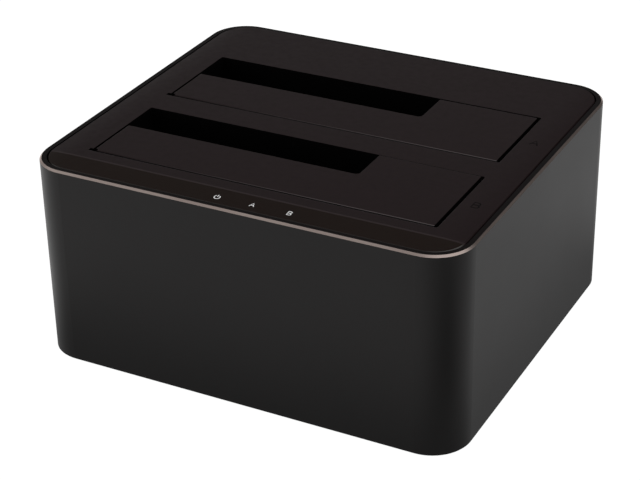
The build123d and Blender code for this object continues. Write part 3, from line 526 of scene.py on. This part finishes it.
def clear_guide():
    """The light guide's clear acrylic, slightly clouded."""
    material, tree, shader = new_material("clear_guide")
    shader.inputs["Transmission Weight"].default_value = guide_clear_share
    shader.inputs["IOR"].default_value = guide_index
    clouds = blend_colours(tree, patches(tree, guide_cloud_size), *guide_whites)
    tree.links.new(clouds, shader.inputs["Base Color"])
    tree.links.new(patches(tree, guide_rough_size, *guide_rough_range), shader.inputs["Roughness"])
    return material


def slot_material(slot):
    """The material of one of the record's slots, from its own function or from the tables."""
    own = {
        "anodised_sleeve": anodised_sleeve, "cover_plastic": cover_plastic, "door_plastic": door_plastic,
        "foot_rubber": foot_rubber, "board_laminate": board_laminate, "clear_guide": clear_guide,
    }
    if slot in own:
        return own[slot]()
    return metal(slot) if slot in metals else plastic(slot)


def dress_nodes():
    """Puts on every CAD node the material of its slot in the record."""
    materials = {}
    for part in frame["record"]["subparts"]:
        slot = part["material_slot"]
        if slot not in materials:
            materials[slot] = slot_material(slot)
        skin = frame["nodes"][part["node"]].data.materials
        skin.clear()
        skin.append(materials[slot])


def winding_springs():
    """The doors' springs: each is copied into a piece of its own, at the same place, and its CAD node is
    hidden.
    """
    for bay in ("a", "b"):
        node = "door_spring_" + bay
        piece = bpy.data.objects.new("winding_spring_" + bay, frame["nodes"][node].data.copy())
        bpy.context.scene.collection.objects.link(piece)
        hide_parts(node)
        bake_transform(piece)


def bow_points(x, y, radius, start, end):
    """Points along an arc about a middle, with its angles in degrees."""
    angles = [radians(start + (end - start) * i / arc_steps) for i in range(arc_steps + 1)]
    return [(x + radius * cos(angle), y + radius * sin(angle)) for angle in angles]


def power_strokes():
    """The open ring and the bar in its gap."""
    return [bow_points(*power_bow_shares), power_bar_shares]


def letter_a_strokes():
    """Two legs and a bar."""
    return [letter_a_leg_shares, letter_a_bar_shares]


def letter_b_strokes():
    """The spine with the lower bow back up to it, and the upper bow."""
    low_bow = bow_points(*letter_b_low_bow_shares)
    high_bow = bow_points(*letter_b_high_bow_shares)
    spine = letter_b_top_shares + letter_b_spine_shares + low_bow + letter_b_waist_shares
    return [spine, letter_b_top_shares + high_bow]


def mark(name, strokes, height, stroke_width, matrix, material):
    """A printed mark: flat strokes of ink with round ends, lying on the cover."""
    curve = bpy.data.curves.new(name, "CURVE")
    curve.dimensions = "3D"
    curve.bevel_depth = stroke_width / 2
    curve.bevel_resolution = stroke_roundness
    curve.use_fill_caps = True
    for points in strokes:
        spline = curve.splines.new("POLY")
        spline.points.add(len(points) - 1)
        for point, (x, y) in zip(spline.points, points):
            point.co = (x * height, y * height, 0, 1)
    drawn = bpy.data.objects.new(name + "_strokes", curve)
    bpy.context.scene.collection.objects.link(drawn)
    mesh = bpy.data.meshes.new_from_object(drawn)
    bpy.data.objects.remove(drawn)
    mesh.name = name
    mesh.transform(matrix @ Matrix.Diagonal((1, 1, mark_ink_height / stroke_width, 1)))
    mesh.materials.clear()
    mesh.materials.append(material)
    mesh.shade_smooth()
    piece = bpy.data.objects.new(name, mesh)
    bpy.context.scene.collection.objects.link(piece)
    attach(piece, "housing")


def indicator_marks():
    """The three white marks on the sloping strip, which glow faintly."""
    ink = plastic("mark_white", edge_radius=0)
    main_shader(ink).inputs["Emission Color"].default_value = (1.0, 1.0, 1.0, 1.0)
    main_shader(ink).inputs["Emission Strength"].default_value = mark_glow
    slope = atan2(strip_slope_drop, strip_slope_run)
    y = body_front + indicator_from_front
    z = cover_top - (strip_from_front - indicator_from_front) * strip_slope_drop / strip_slope_run
    drawings = {"power": power_strokes(), "drive_a": letter_a_strokes(), "drive_b": letter_b_strokes()}
    for x, (name, strokes) in zip(indicator_x, drawings.items()):
        matrix = Matrix.Translation((x, y, z)) @ Matrix.Rotation(slope, 4, "X")
        mark("mark_" + name, strokes, indicator_height, indicator_stroke, matrix, ink)


def bay_letters():
    """The small dark letters on the cover's right shoulder, beside the bays, which read from the front."""
    ink = plastic("mark_dark", edge_radius=0)
    shoulder_share = 1 - (cover_edge - bay_letter_x) / shoulder_width
    z = cover_top - shoulder_drop * shoulder_share ** 2
    lean = atan2(2 * shoulder_drop * shoulder_share, shoulder_width)
    drawings = {"a": letter_a_strokes(), "b": letter_b_strokes()}
    for bay, strokes in drawings.items():
        matrix = Matrix.Translation((bay_letter_x, bay_letter_y[bay], z)) @ Matrix.Rotation(lean, 4, "Y")
        mark("letter_bay_" + bay, strokes, letter_height, letter_stroke, matrix, ink)


def make_camera():
    """The photograph's own view."""
    back = Vector((
        sin(camera_azimuth) * cos(camera_elevation),
        -cos(camera_azimuth) * cos(camera_elevation),
        sin(camera_elevation),
    ))
    right = Vector((0, 0, 1)).cross(back).normalized()
    up = back.cross(right)
    rolled_right = right * cos(camera_roll) + up * sin(camera_roll)
    rolled_up = up * cos(camera_roll) - right * sin(camera_roll)
    data = bpy.data.cameras.new("photo_camera")
    data.sensor_width = camera_sensor
    data.lens = camera_lens
    camera = bpy.data.objects.new("photo_camera", data)
    turn = Matrix((rolled_right, rolled_up, back)).transposed().to_4x4()
    camera.matrix_world = Matrix.Translation(camera_place) @ turn
    bpy.context.scene.collection.objects.link(camera)
    bpy.context.scene.camera = camera


def make_lights():
    """A large lamp high on the right, and a weaker one at the left, both aimed at the body."""
    for name, (place, side, power) in lamps.items():
        data = bpy.data.lights.new(name, "AREA")
        data.shape = "RECTANGLE"
        data.size = side
        data.size_y = side
        data.energy = power
        lamp = bpy.data.objects.new(name, data)
        aim = (Vector(place) - Vector(lamp_target)).to_track_quat("Z", "Y")
        lamp.matrix_world = Matrix.Translation(place) @ aim.to_matrix().to_4x4()
        bpy.context.scene.collection.objects.link(lamp)


def seen_rays(tree):
    """Whether a ray comes from the camera, and whether it comes from a mirror or through glass."""
    rays = add(tree, "ShaderNodeLightPath")
    mirrored = add(tree, "ShaderNodeMath", operation="MAXIMUM")
    tree.links.new(rays.outputs["Is Glossy Ray"], mirrored.inputs[0])
    tree.links.new(rays.outputs["Is Transmission Ray"], mirrored.inputs[1])
    return rays.outputs["Is Camera Ray"], mirrored.outputs[0]


def make_world():
    """White to the camera, and an even grey light. What mirrors show is a dark room with a white sheet."""
    world = bpy.data.worlds.new("studio")
    world.use_nodes = True
    bpy.context.scene.world = world
    tree = world.node_tree
    camera_ray, mirrored_ray = seen_rays(tree)
    low = spread(tree, along(tree, "Generated", "Z"), 1.0, 0.0, *sheet_height_shares, smooth=True)
    direction = add(tree, "ShaderNodeTexCoord").outputs["Generated"]
    facing = vector_math(tree, "DOT_PRODUCT", direction, (cos(sheet_azimuth), sin(sheet_azimuth), 0))["Value"]
    sheet = product(tree, low, spread(tree, facing, 0.0, 1.0, *sheet_side_shares))
    mirrored = blend_colours(tree, sheet, (dark_room_grey,) * 3, (sheet_white,) * 3)
    lit = blend_colours(tree, mirrored_ray, (room_grey,) * 3, mirrored)
    shown = blend_colours(tree, camera_ray, lit, (backdrop_white,) * 3)
    tree.links.new(shown, tree.nodes["Background"].inputs["Color"])


def floor_paint(tree, shader):
    """Matte white paint, very slightly uneven, on the shader that lights the body from the floor."""
    shader.inputs["Roughness"].default_value = floor_rough
    shader.inputs["Specular IOR Level"].default_value = floor_gloss
    grain = patches(tree, floor_patch_size, floor_albedo - floor_mottle, floor_albedo + floor_mottle)
    paint = add(tree, "ShaderNodeCombineColor")
    for channel in ("Red", "Green", "Blue"):
        tree.links.new(grain, paint.inputs[channel])
    tree.links.new(paint.outputs["Color"], shader.inputs["Base Color"])


def floor_seen(tree):
    """What the camera sees of the floor: white, with a soft shadow under the body."""
    matte = add(tree, "ShaderNodeBsdfDiffuse")
    feed(tree, matte.inputs["Color"], (floor_shade_share,) * 3)
    glow = add(tree, "ShaderNodeEmission", {"Strength": floor_glow})
    both = add(tree, "ShaderNodeAddShader")
    tree.links.new(matte.outputs[0], both.inputs[0])
    tree.links.new(glow.outputs[0], both.inputs[1])
    return both.outputs[0]


def floor_mirrored(tree):
    """What the body mirrors of the floor: a glow with painted shade to the right, near the body and at its
    corner.
    """
    fade = spread(tree, along(tree, "Object", "X"), mirrored_left_glow, mirrored_right_glow, *mirrored_fade_x)
    unsided = vector_math(tree, "ABSOLUTE", coordinates(tree))["Vector"]
    beyond = vector_math(tree, "SUBTRACT", unsided, (sleeve_high.x, sleeve_high.y, 0))["Vector"]
    outward = vector_math(tree, "MAXIMUM", beyond)["Vector"]
    reached = vector_math(tree, "DIVIDE", outward, body_shadow_reach)["Vector"]
    from_body = vector_math(tree, "LENGTH", reached)["Value"]
    from_corner = vector_math(tree, "DISTANCE", coordinates(tree), corner_shade_place)["Value"]
    # Painted shadow of the body on the floor's glow, and painted shade before its front corner
    body_shadow = spread(tree, from_body, body_shadow_low_share, 1.0, 0.0, 1.0, smooth=True)
    corner = spread(tree, from_corner, corner_shade_low_share, 1.0, 0.0, corner_shade_reach, smooth=True)
    glow = add(tree, "ShaderNodeEmission")
    tree.links.new(product(tree, product(tree, fade, body_shadow), corner), glow.inputs["Strength"])
    return glow.outputs[0]


def make_floor():
    """A plain white floor, which the camera, mirrors and all other light see each in their own way."""
    half = floor_size / 2
    corners = [(-half, -half, 0), (half, -half, 0), (half, half, 0), (-half, half, 0)]
    mesh = bpy.data.meshes.new("floor")
    mesh.from_pydata(corners, [], [(0, 1, 2, 3)])
    floor = bpy.data.objects.new("floor", mesh)
    bpy.context.scene.collection.objects.link(floor)
    material, tree, shader = new_material("floor_white")
    floor_paint(tree, shader)
    camera_ray, mirrored_ray = seen_rays(tree)
    surface = shader.outputs[0]
    for ray, look in ((mirrored_ray, floor_mirrored(tree)), (camera_ray, floor_seen(tree))):
        choice = add(tree, "ShaderNodeMixShader")
        tree.links.new(ray, choice.inputs["Fac"])
        tree.links.new(surface, choice.inputs[1])
        tree.links.new(look, choice.inputs[2])
        surface = choice.outputs[0]
    tree.links.new(surface, tree.nodes["Material Output"].inputs["Surface"])
    mesh.materials.append(material)


make_camera()
make_world()
make_floor()
make_lights()
dress_nodes()
winding_springs()
indicator_marks()
bay_letters()

bpy.context.scene.view_settings.view_transform = "Standard"
